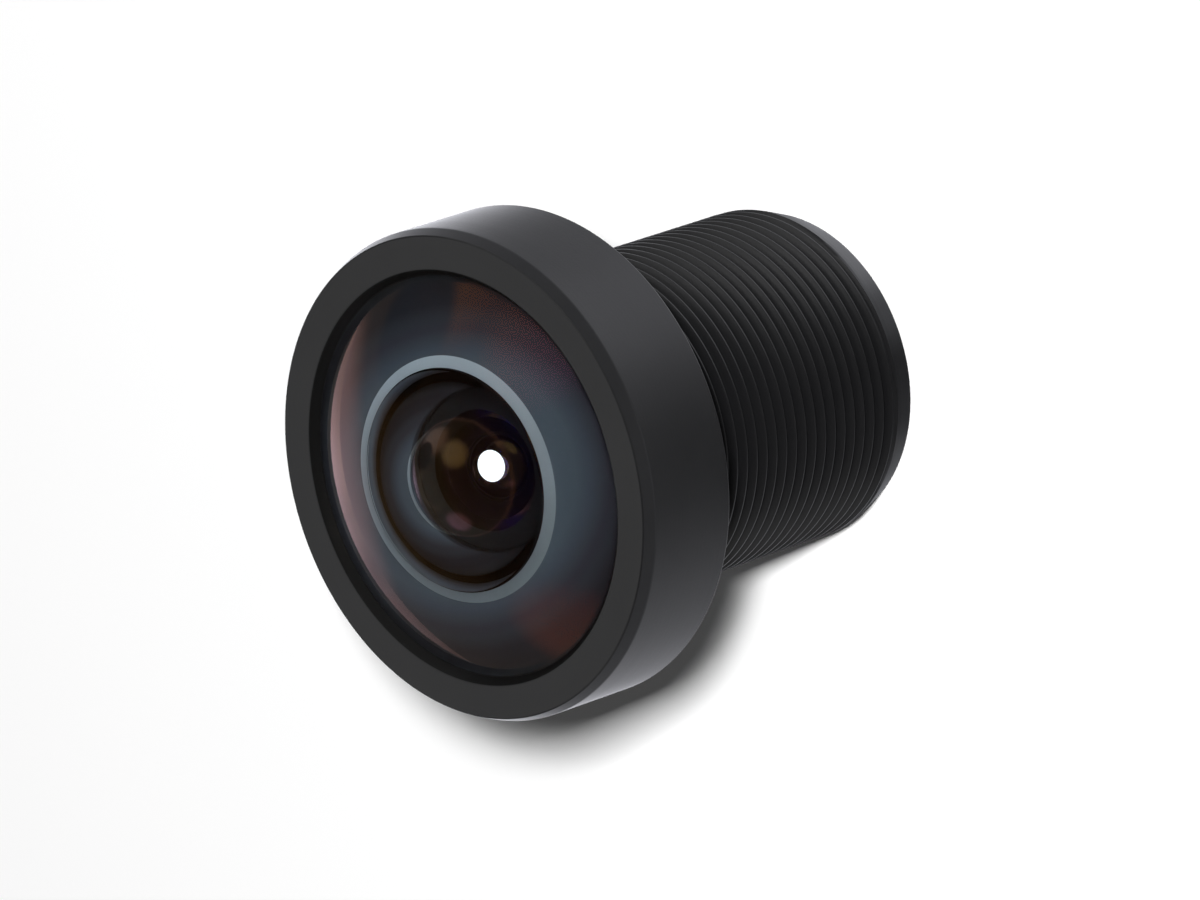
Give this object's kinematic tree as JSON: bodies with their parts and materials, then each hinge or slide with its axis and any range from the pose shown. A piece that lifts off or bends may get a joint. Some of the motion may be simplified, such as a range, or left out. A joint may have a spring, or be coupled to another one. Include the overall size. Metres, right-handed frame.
{
  "type": "m12 board camera lens",
  "caption": "Wide-angle board camera lens with a fine-threaded barrel, an oversize front head and a domed glass front element.",
  "frame": {"origin": "centre of the barrel's rear end face, which the lens stands on", "axes": "+Z along the optical axis, from the barrel's rear end towards the front glass; X and Y square to it"},
  "size_m": [0.0174, 0.0174, 0.019],
  "materials": {
    "barrel": "satin black anodised",
    "front_cap": "satin black anodised",
    "front_seal": "matt black",
    "front_element": "polished, coated",
    "front_spacer": "satin black anodised",
    "second_element": "polished, coated",
    "front_baffle": "matt black foil",
    "middle_spacer": "satin black anodised",
    "third_element": "polished, coated",
    "aperture_stop": "satin black anodised",
    "stop_spacer": "satin black anodised",
    "fourth_element": "polished, coated",
    "thin_spacer": "satin black anodised",
    "fifth_element": "polished, coated",
    "sixth_element": "polished, coated",
    "rear_spacer": "satin black anodised",
    "seventh_element": "polished, coated",
    "rear_baffle": "matt black foil",
    "retaining_ring": "satin black anodised",
    "filter_window": "polished, coated"
  },
  "bodies": {
    "root": {"barrel": "barrel", "front_cap": "front_cap", "front_seal": "front_seal", "front_element": "front_element", "front_spacer": "front_spacer", "second_element": "second_element", "front_baffle": "front_baffle", "middle_spacer": "middle_spacer", "third_element": "third_element", "aperture_stop": "aperture_stop", "stop_spacer": "stop_spacer", "fourth_element": "fourth_element", "thin_spacer": "thin_spacer", "fifth_element": "fifth_element", "sixth_element": "sixth_element", "rear_spacer": "rear_spacer", "seventh_element": "seventh_element", "rear_baffle": "rear_baffle", "retaining_ring": "retaining_ring", "filter_window": "filter_window"}
  },
  "joints": []
}
